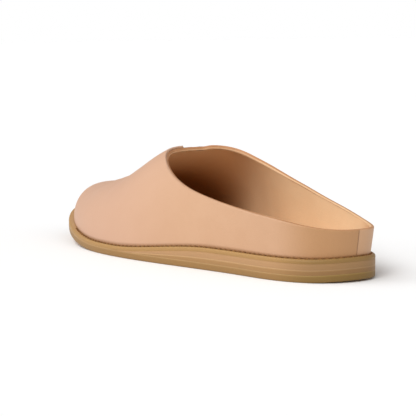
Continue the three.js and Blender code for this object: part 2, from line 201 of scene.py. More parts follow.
# Along the sole: half widths and middle line, as shares of the ball width.
OUTLINE_AT = (0.0, 0.16, 0.28, 0.4, 0.52, 0.64, 0.74, 0.86, 1.0)
OUTLINE_LATERAL = (0.304, 0.314, 0.356, 0.416, 0.468, 0.483, 0.454, 0.396, 0.329)
OUTLINE_MEDIAL = (0.304, 0.314, 0.338, 0.39, 0.466, 0.517, 0.507, 0.462, 0.38)
OUTLINE_MIDDLE = (-0.029, -0.011, -0.001, 0.001, -0.002, -0.012, -0.024, -0.038, -0.053)
# Along the upper: height of the ridge, as a share of the instep height.
RIDGE_AT = (0.0, 0.25, 0.48, 0.56, 0.62, 0.7, 0.78, 0.86, 0.93, 1.0)
RIDGE_HEIGHT = (1.28, 1.2, 1.08, 1.035, 0.9, 0.714, 0.588, 0.458, 0.42, 0.47)
# From the throat to the back of the heel: height of the collar, 1 at the throat and 0 at the heel.
COLLAR_AT = (0.0, 0.12, 0.25, 0.42, 0.62, 0.82, 0.93, 1.0)
COLLAR_LATERAL = (1.0, 0.995, 0.947, 0.74, 0.396, 0.196, 0.11, 0.0)
COLLAR_MEDIAL = (1.0, 1.022, 0.98, 0.785, 0.465, 0.185, 0.03, 0.0)
# Soft troughs and ridges of the worn-in leather: station, share of the section (above 1 on the medial
# side), length and width of the mark in mm, turn in degrees from straight across, and height in mm.
MARKS = (
    (196.0, 0.78, 30.0, 5.0, 12.0, -0.32),
    (186.0, 0.72, 34.0, 7.0, 8.0, 0.22),
    (176.0, 0.70, 36.0, 6.0, 4.0, -0.26),
    (192.0, 1.22, 26.0, 6.0, -10.0, -0.3),
    (181.0, 1.26, 28.0, 7.0, -6.0, 0.2),
    (158.0, 0.55, 30.0, 9.0, 24.0, -0.22),
    (118.0, 0.4, 40.0, 12.0, 60.0, 0.2),
    (128.0, 1.55, 34.0, 10.0, -30.0, -0.2),
)
SECTION_RUN = 85.0
MARK_FADE_BASE = 10.0
MARK_FADE_TOE = 30.0

# Points that agree in this many steps per mm are one point, and this near the base they lie on it. The
# other two keep divisions away from zero.
WELD_STEPS = 1e4
ON_BASE = 0.02
LEAST_UP = 0.05
TINY = 1e-12


def curve(at, values):
    """Natural cubic through a table's values."""
    x = np.array(at)
    y = np.array(values)
    n = len(x)
    h = np.diff(x)
    rows = np.eye(n)
    right = np.zeros(n)
    for i in range(1, n - 1):
        rows[i, i - 1 : i + 2] = h[i - 1], 2 * (h[i - 1] + h[i]), h[i]
        right[i] = 6 * ((y[i + 1] - y[i]) / h[i] - (y[i] - y[i - 1]) / h[i - 1])
    bend = np.linalg.solve(rows, right)

    def at_value(v):
        u = np.clip(v, x[0], x[-1])
        i = np.clip(np.searchsorted(x, u, side="right") - 1, 0, n - 2)
        b = (u - x[i]) / h[i]
        a = 1 - b
        bulge = (a**3 - a) * bend[i] + (b**3 - b) * bend[i + 1]
        return a * y[i] + b * y[i + 1] + bulge * h[i] ** 2 / 6

    return at_value


lateral_half = curve(OUTLINE_AT, OUTLINE_LATERAL)
medial_half = curve(OUTLINE_AT, OUTLINE_MEDIAL)
middle_line = curve(OUTLINE_AT, OUTLINE_MIDDLE)
ridge_share = curve(RIDGE_AT, RIDGE_HEIGHT)
collar_lateral = curve(COLLAR_AT, COLLAR_LATERAL)
collar_medial = curve(COLLAR_AT, COLLAR_MEDIAL)


def mix(a, b, share):
    return a + (b - a) * share


def ease(v):
    u = np.clip(v, 0, 1)
    return u * u * (3 - 2 * u)


def ends(x, heel_end, toe_end):
    """1 along the middle of a form, rounded down to 0 at either end."""
    heel = np.clip((heel_end + HEEL_ROUND - x) / HEEL_ROUND, 0, 1)
    toe = np.clip((x - toe_end + TOE_ROUND) / TOE_ROUND, 0, 1)
    return (1 - heel**HEEL_POWER) ** (1 / HEEL_POWER) * (1 - toe**TOE_POWER) ** (1 / TOE_POWER)


def edges(x, inset_lateral, inset_medial, heel_end, toe_end):
    """Middle line, lateral edge and medial edge of a form at x."""
    along = np.clip((x - heel_end) / (toe_end - heel_end), 0, 1)
    full = ends(x, heel_end, toe_end)
    middle = middle_line(along) * BALL_WIDTH
    lateral = lateral_half(along) * BALL_WIDTH - inset_lateral
    medial = -medial_half(along) * BALL_WIDTH + inset_medial
    return middle, middle + (lateral - middle) * full, middle + (medial - middle) * full


def floor_side(x):
    along = x / SOLE_LENGTH
    spring = np.clip((along - SPRING_FROM) / (1 - SPRING_FROM), 0, 1) ** SPRING_POWER
    bevel = np.clip((HEEL_BEVEL_LENGTH - along) / HEEL_BEVEL_LENGTH, 0, 1) ** 2
    return TOE_SPRING * spring + HEEL_BEVEL * bevel


def sole_thick(x):
    down = ease((x / SOLE_LENGTH - LIFT_FULL_TO) / (LIFT_GONE_AT - LIFT_FULL_TO))
    return mix(HEEL_HEIGHT, FOREPART_HEIGHT, down)


def upper_base(x):
    return floor_side(x) + sole_thick(x)


def welt_top(x):
    return upper_base(x) - LAYER_GAP


def welt_under(x):
    return welt_top(x) - WELT_THICK


def outsole_top(x):
    return floor_side(x) + OUTSOLE_THICK


def past_seam(x):
    """0 behind the seam's end on the medial side, rising to 1 just ahead of it."""
    return ease((x - SEAM_END_X + SEAM_EASE_BEFORE) / (SEAM_EASE_BEFORE + SEAM_EASE_AFTER))


def shell_insets(x):
    return LEDGE_SIDE + WRAP_STEP, LEDGE_SIDE + WRAP_STEP * past_seam(x)


def shell_edges(x):
    return edges(x, *shell_insets(x), SHELL_HEEL_END, SHELL_TOE_END)


def upper_share(x):
    """0 at the upper's heel end and 1 at its toe end."""
    return np.clip((x - SHELL_HEEL_END) / (SHELL_TOE_END - SHELL_HEEL_END), 0, 1)


def ridge_height(x):
    cap = np.clip((x - SHELL_TOE_END + TOE_CAP_LENGTH) / TOE_CAP_LENGTH, 0, 1)
    rounded = (1 - cap**TOE_CAP_POWER) ** (1 / TOE_CAP_POWER)
    return (ridge_share(upper_share(x)) * INSTEP_HEIGHT - WRAP_STEP) * rounded


def section_power(x):
    to_back = ease((SECTION_TURN_AT - upper_share(x)) / SECTION_TURN_LENGTH)
    return mix(SECTION_POWER_FRONT, SECTION_POWER_HEEL, to_back)


def last_point(x, up, side):
    """Points of the last: up runs from 0 at the sole to 1 on the ridge, side is 1 lateral or -1 medial."""
    x, up = np.broadcast_arrays(np.asarray(x, float), np.asarray(up, float))
    along = upper_share(x)
    middle, lateral, medial = shell_edges(x)
    beside = ends(x, SHELL_HEEL_END, SHELL_TOE_END)
    shift = RIDGE_SHIFT * ease(1 - np.abs(along - RIDGE_SHIFT_AT) / RIDGE_SHIFT_REACH)
    ridge = middle - shift * beside
    foot = lateral if side > 0 else medial
    power = 2 / section_power(x)
    rise = ridge_height(x) * np.sin(up * math.pi / 2) ** power
    wide = np.maximum(0, np.cos(up * math.pi / 2)) ** power
    lean = ease((FLARE_LENGTH - along) / FLARE_LENGTH) * HEEL_FLARE * rise / FLARE_HEIGHT
    y = ridge + (foot - ridge) * wide + side * lean * beside * wide
    return np.stack([x - lean * (1 - beside**2), y, upper_base(x) + rise], -1)


def collar_point(u, side):
    """Station and share of the section where the collar crosses a column; u runs from throat to heel."""
    along = np.sin(math.pi / 2 * u) ** 2
    x = THROAT_X - (THROAT_X - SHELL_HEEL_END) * along**2
    share = collar_lateral(along) if side > 0 else collar_medial(along)
    z = mix(HEEL_WALL_HEIGHT, ridge_height(THROAT_X), share)
    part = np.clip(z / ridge_height(x), 0, 1)
    up = np.arcsin(part ** (section_power(x) / 2)) * 2 / math.pi
    if side < 0:
        turn = 1 - THROAT_TURN * u
        soft = THROAT_TURN * u * (1 - u) / 2
        up = (up + turn - np.sqrt((up - turn) ** 2 + soft**2)) / 2
    return x, up


def columns(side):
    """Foot station, rim station and share of the section where each column ends."""
    k = np.arange(COLUMNS + 1)
    u = (1 - np.minimum(k, REAR_COLUMNS) / REAR_COLUMNS) ** COLUMN_SPREAD
    rim, up = collar_point(u, side)
    foot = THROAT_X - (THROAT_X - SHELL_HEEL_END) * np.sin(math.pi / 2 * u) ** COLUMN_CROWDING
    ahead = np.clip((k - REAR_COLUMNS) / FRONT_COLUMNS, 0, 1)
    front = THROAT_X + (SHELL_TOE_END - THROAT_X) * np.sin(math.pi / 2 * ahead)
    in_front = k > REAR_COLUMNS
    foot = np.where(in_front, front, foot)
    rim = np.where(in_front, front, rim)
    return foot, rim, np.where(in_front, 1.0, up)


def row_shares(foot, rim, up, side, rows):
    """Where the rows of each column lie: evenly spread, with room for the rounded edge at the last."""
    v = np.linspace(0, 1, LENGTH_SAMPLES)
    walk = last_point(foot[:, None] + (rim - foot)[:, None] * v, up[:, None] * v, side)
    length = np.linalg.norm(np.diff(walk, axis=1), axis=2).sum(1)
    room = np.minimum(RIM_ROOM / np.maximum(length, 1), RIM_ROOM_SHARE)
    share = np.linspace(0, 1, rows) * (1 - room)[:, None]
    return np.concatenate([share, np.ones((len(foot), 1))], 1)


def column_grid(side):
    foot, rim, up = columns(side)
    v = row_shares(foot, rim, up, side, ROWS)
    x = foot[:, None] + (rim - foot)[:, None] * v
    return last_point(x, up[:, None] * v, side)


def seam_up(x):
    """Share of the medial section at which the wrap's seam runs, from the ridge down to the sole."""
    along = np.clip((x - THROAT_X) / (SEAM_END_X - THROAT_X), 0, 1)
    return (1 - along**SEAM_BOW) ** SEAM_DROP


def grid_faces(count, rows, start=0, flip=False):
    """Quads between the neighbouring columns of a grid of points."""
    faces = []
    for k in range(count - 1):
        for r in range(rows - 1):
            a = start + k * rows + r
            b = a + rows
            quad = (a, a + 1, b + 1, b)
            faces.append(quad[::-1] if flip else quad)
    return faces


def weld(points, faces):
    """Joins equal points and drops faces that have no area."""
    keys = np.round(points * WELD_STEPS).astype(np.int64)
    _, first, place = np.unique(keys, axis=0, return_index=True, return_inverse=True)
    place = place.reshape(-1)
    kept = []
    for face in faces:
        ring = []
        for i in face:
            j = int(place[i])
            if j not in ring:
                ring.append(j)
        if len(ring) > 2:
            kept.append(tuple(ring))
    return points[first], kept


def unit(vectors):
    """Vectors scaled to a length of 1."""
    return vectors / np.maximum(np.linalg.norm(vectors, axis=1, keepdims=True), TINY)


def point_normals(points, faces):
    normals = np.zeros_like(points)
    for face in faces:
        p = points[list(face)]
        n = np.cross(p[1] - p[0], p[2] - p[0])
        if len(face) == 4:
            n = n + np.cross(p[2] - p[0], p[3] - p[0])
        for i in face:
            normals[i] += n
    return unit(normals)


def edge_loops(faces):
    """Loops of the edges that only one face uses, each running with the patch on its left."""
    used = {}
    for face in faces:
        for i, a in enumerate(face):
            used[(a, face[(i + 1) % len(face)])] = True
    after = {a: b for a, b in used if (b, a) not in used}
    loops = []
    while after:
        start = next(iter(after))
        loop = [start]
        b = after.pop(start)
        while b != start:
            loop.append(b)
            b = after.pop(b)
        loops.append(loop)
    return loops


def on_base(point):
    return abs(point[2] - upper_base(point[0])) < ON_BASE


def leather_sheet(points, faces, inner, outer, round_out, round_in, roll_slot, edge_slot):
    """A sheet of leather on a patch: two offset faces joined by rounded edges.

    inner and outer give the offsets of the two faces at points. roll_slot is the material slot of the
    inner roll of the edges, and edge_slot gives the slot of their middle at a point. The outer face
    rolls a little way over the edge.
    """
    points, faces = weld(points, faces)
    base = np.array([on_base(p) for p in points])
    level = point_normals(points, faces)
    level[base, 2] = 0
    level = unit(level)
    inner_by = inner(points)
    outer_by = outer(points)

    def shifted(by):
        moved = points + level * by[:, None]
        moved[base, 2] = upper_base(moved[base, 0])
        return moved

    outside = shifted(outer_by)
    inside = shifted(inner_by)
    n = len(points)
    verts = [outside, inside]
    all_faces = [tuple(f) for f in faces] + [tuple(i + n for i in reversed(f)) for f in faces]
    materials = [OUTER_SLOT] * len(faces) + [INNER_SLOT] * len(faces)
    count = 2 * n
    for loop in edge_loops(faces):
        ring = np.array(loop)
        up = level[ring]
        along = unit(np.roll(outside[ring], -1, 0) - np.roll(outside[ring], 1, 0))
        out = unit(np.cross(along, up))
        thick = (outer_by - inner_by)[ring]
        turns = (
            (outside, up, np.minimum(round_out, ROUND_OUT_LIMIT * thick), QUARTER_TURN[1:]),
            (inside, -up, np.minimum(round_in, ROUND_IN_LIMIT * thick), QUARTER_TURN[:0:-1]),
        )
        rows = [ring]
        for sheet, way, radius, angles in turns:
            radius = np.where(base[ring], BASE_ROUND, radius)[:, None]
            sheet[ring] -= out * radius
            centre = sheet[ring] - way * radius
            for angle in angles:
                verts.append(centre + (out * math.sin(angle) + way * math.cos(angle)) * radius)
                rows.append(np.arange(count, count + len(ring)))
                count += len(ring)
        rows.append(ring + n)
        kinds = [edge_slot(points[i]) for i in ring]
        for strip, (upper_row, lower_row) in enumerate(zip(rows, rows[1:])):
            for i, kind in enumerate(kinds):
                j = (i + 1) % len(ring)
                all_faces.append((upper_row[j], upper_row[i], lower_row[i], lower_row[j]))
                if kind != INNER_SLOT and strip < OUTER_STRIPS:
                    kind = OUTER_SLOT
                elif kind != INNER_SLOT and strip >= ROLL_FROM_STRIP:
                    kind = roll_slot
                materials.append(kind)
    return np.concatenate(verts), all_faces, materials


def in_metres(points):
    """Millimetres from the back of the sole as metres of the shared frame."""
    return (points - np.array([HEEL_SEAT, 0, 0])) / 1000


def finished(name, points, faces, slot_materials, attributes, face_materials=None, uv=None):
    """A smooth-shaded piece from points in millimetres."""
    mesh = bpy.data.meshes.new(name)
    mesh.from_pydata(in_metres(points).tolist(), [], [[int(i) for i in f] for f in faces])
    for material in slot_materials:
        mesh.materials.append(material)
    if face_materials is not None:
        mesh.polygons.foreach_set("material_index", np.array(face_materials, np.int32))
    for key, values in attributes.items():
        layer = mesh.attributes.new(key, "FLOAT", "POINT")
        layer.data.foreach_set("value", np.asarray(values, np.float32))
    if uv is not None:
        layer = mesh.uv_layers.new(name="edge")
        corner = np.zeros(len(mesh.loops), np.int32)
        mesh.loops.foreach_get("vertex_index", corner)
        layer.data.foreach_set("uv", np.asarray(uv, np.float32)[corner].ravel())
    mesh.polygons.foreach_set("use_smooth", np.ones(len(mesh.polygons), bool))
    mesh.validate()
    mesh.update()
    piece = bpy.data.objects.new(name, mesh)
    bpy.context.scene.collection.objects.link(piece)
    return piece


def tree_of(name):
    material = bpy.data.materials.new(name)
    material.use_nodes = True
    tree = material.node_tree
    return material, tree, tree.nodes["Principled BSDF"]


def add(tree, kind, **settings):
    """A node with its settings, and its inputs given by name or number under 'inputs'."""
    node = tree.nodes.new(kind)
    inputs = settings.pop("inputs", {})
    for key, value in settings.items():
        setattr(node, key, value)
    for key, value in inputs.items():
        node.inputs[key].default_value = value
    return node


def ramp(tree, stops):
    node = tree.nodes.new("ShaderNodeValToRGB")
    elements = node.color_ramp.elements
    while len(elements) < len(stops):
        elements.new(0.5)
    for element, (at, colour) in zip(elements, stops):
        element.position = at
        element.color = (*colour, 1)
    return node


def srgb(r, g, b):
    """Colour from the values seen on a screen."""
    return tuple(((c / 255 + 0.055) / 1.055) ** 2.4 if c > 10 else c / 255 / 12.92 for c in (r, g, b))


def mix3(a, b, share):
    return tuple(mix(p, q, share) for p, q in zip(a, b))


def tinted(tree, colour, factor, shade, **settings):
    """A colour mixed with a fixed shade, as far as a factor says."""
    tint = add(tree, "ShaderNodeMix", data_type="RGBA", **settings)
    tree.links.new(factor, tint.inputs["Factor"])
    tree.links.new(colour, tint.inputs[MIX_A])
    tint.inputs[MIX_B].default_value = (*shade, 1)
    return tint.outputs[MIX_RESULT]


def new_sockets(group, way, kind, starts):
    """Sockets of one kind on a node group, each with its starting value if it has one."""
    for name, value in starts.items():
        socket = group.interface.new_socket(name, in_out=way, socket_type=kind)
        if value is not None:
            socket.default_value = value


def leather_group():
    """Grain and mottling of smooth leather: a colour mix, a roughness and a height."""
    group = bpy.data.node_groups.new("smooth_leather", "ShaderNodeTree")
    new_sockets(group, "INPUT", "NodeSocketVector", {"Vector": None})
    new_sockets(group, "INPUT", "NodeSocketColor", {"Light": None, "Dark": None})
    new_sockets(group, "INPUT", "NodeSocketFloat",
                {"Mottle Scale": 30.0, "Grain Scale": 1500.0, "Roughness": 0.5})
    new_sockets(group, "OUTPUT", "NodeSocketColor", {"Color": None})
    new_sockets(group, "OUTPUT", "NodeSocketFloat", {"Roughness": None, "Height": None})
    link = group.links.new
    given = group.nodes.new("NodeGroupInput")
    out = group.nodes.new("NodeGroupOutput")
    mottle = add(group, "ShaderNodeTexNoise", inputs={"Detail": 4.0, "Roughness": 0.6, "Distortion": 0.6})
    link(given.outputs["Vector"], mottle.inputs["Vector"])
    link(given.outputs["Mottle Scale"], mottle.inputs["Scale"])
    cloud = add(group, "ShaderNodeMapRange", inputs={"From Min": 0.3, "From Max": 0.7})
    link(mottle.outputs["Fac"], cloud.inputs["Value"])
    blend = add(group, "ShaderNodeMix", data_type="RGBA")
    link(cloud.outputs["Result"], blend.inputs["Factor"])
    link(given.outputs["Light"], blend.inputs[MIX_A])
    link(given.outputs["Dark"], blend.inputs[MIX_B])
    link(blend.outputs[MIX_RESULT], out.inputs["Color"])
    pores = add(group, "ShaderNodeTexVoronoi", feature="F1")
    link(given.outputs["Vector"], pores.inputs["Vector"])
    link(given.outputs["Grain Scale"], pores.inputs["Scale"])
    fine = add(group, "ShaderNodeTexNoise", inputs={"Scale": 700.0, "Detail": 3.0})
    link(given.outputs["Vector"], fine.inputs["Vector"])
    wave = add(group, "ShaderNodeTexNoise", inputs={"Scale": 55.0, "Detail": 2.0})
    link(given.outputs["Vector"], wave.inputs["Vector"])
    grain = add(group, "ShaderNodeMath", operation="MULTIPLY_ADD", inputs={1: PORE_DEPTH})
    link(pores.outputs["Distance"], grain.inputs[0])
    link(fine.outputs["Fac"], grain.inputs[2])
    total = add(group, "ShaderNodeMath", operation="MULTIPLY_ADD", inputs={1: WAVE_DEPTH})
    link(wave.outputs["Fac"], total.inputs[0])
    link(grain.outputs[0], total.inputs[2])
    link(total.outputs[0], out.inputs["Height"])
    rough = add(group, "ShaderNodeMath", operation="MULTIPLY_ADD", inputs={1: ROUGHNESS_SPREAD})
    link(cloud.outputs["Result"], rough.inputs[0])
    link(given.outputs["Roughness"], rough.inputs[2])
    link(rough.outputs[0], out.inputs["Roughness"])
    return group


def seam_group():
    """A fine upright line down the back of the heel, where the two leathers meet."""
    group = bpy.data.node_groups.new("back_seam", "ShaderNodeTree")
    new_sockets(group, "INPUT", "NodeSocketVector", {"Vector": None})
    new_sockets(group, "INPUT", "NodeSocketFloat", {"Across": 0.0, "Ahead Of": 0.0, "Half Width": 0.0004})
    new_sockets(group, "OUTPUT", "NodeSocketFloat", {"Seam": None})
    link = group.links.new
    given = group.nodes.new("NodeGroupInput")
    out = group.nodes.new("NodeGroupOutput")
    parts = add(group, "ShaderNodeSeparateXYZ")
    link(given.outputs["Vector"], parts.inputs["Vector"])
    aside = add(group, "ShaderNodeMath", operation="SUBTRACT")
    link(parts.outputs["Y"], aside.inputs[0])
    link(given.outputs["Across"], aside.inputs[1])
    away = add(group, "ShaderNodeMath", operation="ABSOLUTE")
    link(aside.outputs[0], away.inputs[0])
    line = add(group, "ShaderNodeMapRange", interpolation_type="SMOOTHSTEP",
               inputs={"To Min": 1.0, "To Max": 0.0})
    link(away.outputs[0], line.inputs["Value"])
    link(given.outputs["Half Width"], line.inputs["From Max"])
    behind = add(group, "ShaderNodeMath", operation="LESS_THAN")
    link(parts.outputs["X"], behind.inputs[0])
    link(given.outputs["Ahead Of"], behind.inputs[1])
    both = add(group, "ShaderNodeMath", operation="MULTIPLY")
    link(line.outputs["Result"], both.inputs[0])
    link(behind.outputs[0], both.inputs[1])
    link(both.outputs[0], out.inputs["Seam"])
    return group


smooth_leather = leather_group()
back_seam = seam_group()


def leather(name, light, dark, roughness=0.48, mottle=26.0, grain=1500.0, tints_and_shades=None, seam_colour=None):
    """Leather from the shared group. Each tint, some of them painted shade, shows as far as the piece's
    attribute of its name says.
    """
    material, tree, shader = tree_of(name)
    link = tree.links.new
    where = add(tree, "ShaderNodeTexCoord")
    surface = add(tree, "ShaderNodeGroup", node_tree=smooth_leather)
    surface.inputs["Light"].default_value = (*light, 1)
    surface.inputs["Dark"].default_value = (*dark, 1)
    surface.inputs["Mottle Scale"].default_value = mottle
    surface.inputs["Grain Scale"].default_value = grain
    surface.inputs["Roughness"].default_value = roughness
    link(where.outputs["Object"], surface.inputs["Vector"])
    colour = surface.outputs["Color"]
    for attribute, shade in (tints_and_shades or {}).items():
        near = add(tree, "ShaderNodeAttribute", attribute_name=attribute)
        colour = tinted(tree, colour, near.outputs["Fac"], shade)
    if seam_colour is not None:
        seam = add(tree, "ShaderNodeGroup", node_tree=back_seam)
        link(where.outputs["Object"], seam.inputs["Vector"])
        seam.inputs["Across"].default_value = float(middle_line(0)) * BALL_WIDTH / 1000
        seam.inputs["Ahead Of"].default_value = (SHELL_HEEL_END - HEEL_SEAT + BACK_SEAM_DEPTH) / 1000
        seam.inputs["Half Width"].default_value = BACK_SEAM_HALF_WIDTH / 1000
        colour = tinted(tree, colour, seam.outputs["Seam"], seam_colour)
    link(colour, shader.inputs["Base Color"])
    link(surface.outputs["Roughness"], shader.inputs["Roughness"])
    bumps = add(tree, "ShaderNodeBump", inputs={"Strength": 0.35, "Distance": 0.00025})
    link(surface.outputs["Height"], bumps.inputs["Height"])
    link(bumps.outputs["Normal"], shader.inputs["Normal"])
    shader.inputs["Specular IOR Level"].default_value = 0.4
    return material


def stacked(name, light, dark, line, heel):
    """Cut edge of stacked leather: long streaks that follow the layer, from the piece's edge map."""
    material, tree, shader = tree_of(name)
    link = tree.links.new
    where = add(tree, "ShaderNodeUVMap", uv_map="edge")
    long_way = add(tree, "ShaderNodeMapping", inputs={"Scale": (38.0, 1500.0, 1.0)})
    link(where.outputs["UV"], long_way.inputs["Vector"])
    streak = add(tree, "ShaderNodeTexNoise",
                 inputs={"Scale": 1.0, "Detail": 5.0, "Roughness": 0.65, "Distortion": 0.5})
    link(long_way.outputs["Vector"], streak.inputs["Vector"])
    wide = add(tree, "ShaderNodeMapping", inputs={"Scale": (14.0, 420.0, 1.0)})
    link(where.outputs["UV"], wide.inputs["Vector"])
    band = add(tree, "ShaderNodeTexNoise", inputs={"Scale": 1.0, "Detail": 2.0, "Roughness": 0.5})
    link(wide.outputs["Vector"], band.inputs["Vector"])
    both = add(tree, "ShaderNodeMath", operation="MULTIPLY_ADD", inputs={1: STREAK_SHARE})
    link(streak.outputs["Fac"], both.inputs[0])
    bands = add(tree, "ShaderNodeMath", operation="MULTIPLY", inputs={1: 1 - STREAK_SHARE})
    link(band.outputs["Fac"], bands.inputs[0])
    link(bands.outputs[0], both.inputs[2])
    tones = ramp(tree, [(0.39, dark), (0.5, mix3(dark, light, 0.55)), (0.6, light)])
    link(both.outputs[0], tones.inputs["Fac"])
    near = add(tree, "ShaderNodeAttribute", attribute_name="edge")
    colour = tinted(tree, tones.outputs["Color"], near.outputs["Fac"], line)
    # The heel attribute darkens the edge towards the back of the heel as painted shade.
    rear = add(tree, "ShaderNodeAttribute", attribute_name="heel")
    colour = tinted(tree, colour, rear.outputs["Fac"], heel, blend_type="MULTIPLY")
    link(colour, shader.inputs["Base Color"])
    rough = add(tree, "ShaderNodeMapRange", inputs={"To Min": 0.42, "To Max": 0.62})
    link(both.outputs[0], rough.inputs["Value"])
    link(rough.outputs["Result"], shader.inputs["Roughness"])
    bumps = add(tree, "ShaderNodeBump", inputs={"Strength": 0.3, "Distance": 0.0002})
    link(both.outputs[0], bumps.inputs["Height"])
    link(bumps.outputs["Normal"], shader.inputs["Normal"])
    shader.inputs["Specular IOR Level"].default_value = 0.35
    return material


VAMP_TONE = srgb(202, 161, 136)
# The colour along the base of the upper is painted shade where it meets the welt.
BASE_SHADE_LINE = srgb(146, 100, 58)
SEAM_LINE = srgb(120, 78, 44)
# On the wrap and the shell the heel tint is painted shade on the heel wall and the edge tint is painted
# shade along the base; the vamp tint is a tone of the leather.
wrap_leather = leather(
    "wrap_leather", srgb(203, 161, 128), srgb(198, 155, 121), seam_colour=SEAM_LINE,
    tints_and_shades={"heel": srgb(181, 135, 92), "vamp": VAMP_TONE, "edge": BASE_SHADE_LINE})
shell_leather = leather(
    "shell_leather", srgb(204, 161, 127), srgb(198, 154, 119), seam_colour=SEAM_LINE,
    tints_and_shades={"heel": srgb(200, 156, 118), "vamp": VAMP_TONE, "edge": BASE_SHADE_LINE})
# The lining's deep tint is painted shade in the toe's hollow, and its edge tint is painted shade where it
# meets the footbed; its heel tint darkens it towards the back of the heel.
lining_leather = leather(
    "lining_leather", srgb(232, 200, 160), srgb(224, 188, 146), roughness=0.55, mottle=20.0,
    tints_and_shades={"heel": srgb(206, 158, 116), "deep": srgb(152, 104, 56), "edge": srgb(190, 140, 98)})
rim_roll = leather("rim_roll", srgb(224, 184, 142), srgb(214, 172, 128), roughness=0.5, mottle=60.0)
rim_leather = leather("rim_leather", srgb(196, 142, 98), srgb(178, 122, 78), roughness=0.5, mottle=90.0)
cut_edge = leather("cut_edge", srgb(160, 108, 68), srgb(132, 84, 48), roughness=0.6, mottle=160.0)
footbed_leather = leather(
    "footbed_leather", srgb(222, 170, 124), srgb(206, 150, 102), roughness=0.55, mottle=18.0,
    tints_and_shades={"edge": srgb(170, 118, 74)})
thread = leather("welt_thread", srgb(142, 98, 48), srgb(112, 74, 34), roughness=0.7, mottle=300.0)
sole_face = leather("sole_face", srgb(186, 146, 98), srgb(170, 128, 80), roughness=0.42, mottle=24.0,
                    grain=900.0)
# The last colour of each edge multiplies it at the heel, as painted shade.
outsole_edge = stacked(
    "outsole_edge", srgb(160, 124, 76), srgb(138, 102, 56), srgb(182, 146, 100), (0.73, 0.75, 0.52))
lower_lift_edge = stacked(
    "lower_lift_edge", srgb(176, 136, 88), srgb(150, 112, 68), srgb(200, 162, 118), (0.72, 0.69, 0.63))
upper_lift_edge = stacked(
    "upper_lift_edge", srgb(190, 149, 108), srgb(164, 124, 82), srgb(176, 134, 90), (0.72, 0.71, 0.62))
welt_edge = stacked(
    "welt_edge", srgb(180, 141, 88), srgb(160, 120, 70), srgb(172, 134, 82), (0.67, 0.67, 0.56))


def to_base_shade(points):
    """Share of the painted shade along the join of the upper and the welt: 1 at the base of the upper,
    fading to 0 just above it.
    """
    rise = points[:, 2] - upper_base(points[:, 0])
    return np.clip(1 - rise / BASE_SHADE_HEIGHT, 0, 1) ** 2


def to_heel_shade(points):
    """Share of the painted shade on the heel: 1 at the back of the heel, fading to 0 towards the heel seat.
    """
    return 1 - ease((points[:, 0] - HEEL_SHADE_FROM) / HEEL_SHADE_LENGTH)


def to_vamp(points):
    """0 beside the heel, rising over the waist to its full value on the vamp."""
    return VAMP_TINT * ease((points[:, 0] - VAMP_TINT_FROM) / VAMP_TINT_LENGTH)


def to_toe_shade(points):
    """Share of the painted shade in the toe's hollow: 0 behind the throat, rising to 1 far into the toe."""
    return ease((points[:, 0] - THROAT_X + TOE_SHADE_BEFORE) / TOE_SHADE_LENGTH)


def marks(points):
    """Height of the soft troughs and ridges at points of the last, fading out at the base and the toe."""
    x = points[:, 0]
    middle, lateral, medial = shell_edges(x)
    rise = points[:, 2] - upper_base(x)
    beside = points[:, 1] - middle
    half_width = np.where(beside > 0, lateral - middle, middle - medial)
    beside_share = np.abs(beside) / np.maximum(half_width, 1)
    near = np.arctan2(rise / np.maximum(ridge_height(x), 1), beside_share) * 2 / math.pi
    share = np.where(beside > 0, near, 2 - near)
    total = np.zeros(len(points))
    for station, at, length, width, turn, height in MARKS:
        ahead = x - station
        around = (share - at) * SECTION_RUN
        c = math.cos(math.radians(turn))
        s = math.sin(math.radians(turn))
        across = ahead * c + around * s
        along = around * c - ahead * s
        total += height * np.exp(-((across / width) ** 2) - (along / length) ** 2)
    return total * ease(rise / MARK_FADE_BASE) * ease((SHELL_TOE_END - x) / MARK_FADE_TOE)


def shell_inner(points):
    return marks(points) - WALL


def shell_edge_slot(point):
    return INNER_SLOT if on_base(point) else EDGE_SLOT


def make_shell():
    lateral = column_grid(1)
    medial = column_grid(-1)
    rows = ROWS + 1
    points = np.concatenate([lateral.reshape(-1, 3), medial.reshape(-1, 3)])
    faces = grid_faces(COLUMNS + 1, rows) + grid_faces(COLUMNS + 1, rows, len(lateral) * rows, flip=True)
    made, faces, materials = leather_sheet(
        points, faces, shell_inner, marks, SHELL_ROUND_OUT, SHELL_ROUND_IN, ROLL_SLOT, shell_edge_slot)
    # The base, heel and toe attributes carry painted shade; the vamp attribute carries a tone of the
    # leather.
    attributes = {"edge": to_base_shade(made), "heel": to_heel_shade(made), "deep": to_toe_shade(made), "vamp": to_vamp(made)}
    leathers = [shell_leather, lining_leather, rim_leather, rim_roll]
    piece = finished("upper_shell", made, faces, leathers, attributes, materials)
    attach(piece, "root")
    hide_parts("upper")


def wrap_offset(points, at_back, ahead):
    """An offset that changes along the wrap's thinned stretch, and follows the marks."""
    forward = ease((points[:, 0] - SHELL_HEEL_END) / SKIVE_LENGTH)
    return mix(at_back, ahead, forward) + marks(points)


def wrap_outer(points):
    return wrap_offset(points, WRAP_AT_BACK, WRAP_STEP)


def wrap_inner(points):
    return wrap_offset(points, WRAP_GAP_AT_BACK, WRAP_GAP)


def wrap_edge_slot(point):
    """The cut face shows along the seam and low at the back of the heel; the rim keeps the outer leather."""
    if on_base(point):
        return INNER_SLOT
    low = point[2] < upper_base(point[0]) + BACK_EDGE_HEIGHT
    at_back = point[0] < SHELL_HEEL_END + BACK_EDGE_DEPTH and low
    return EDGE_SLOT if point[0] > THROAT_X + CUT_EDGE_FROM or at_back else OUTER_SLOT


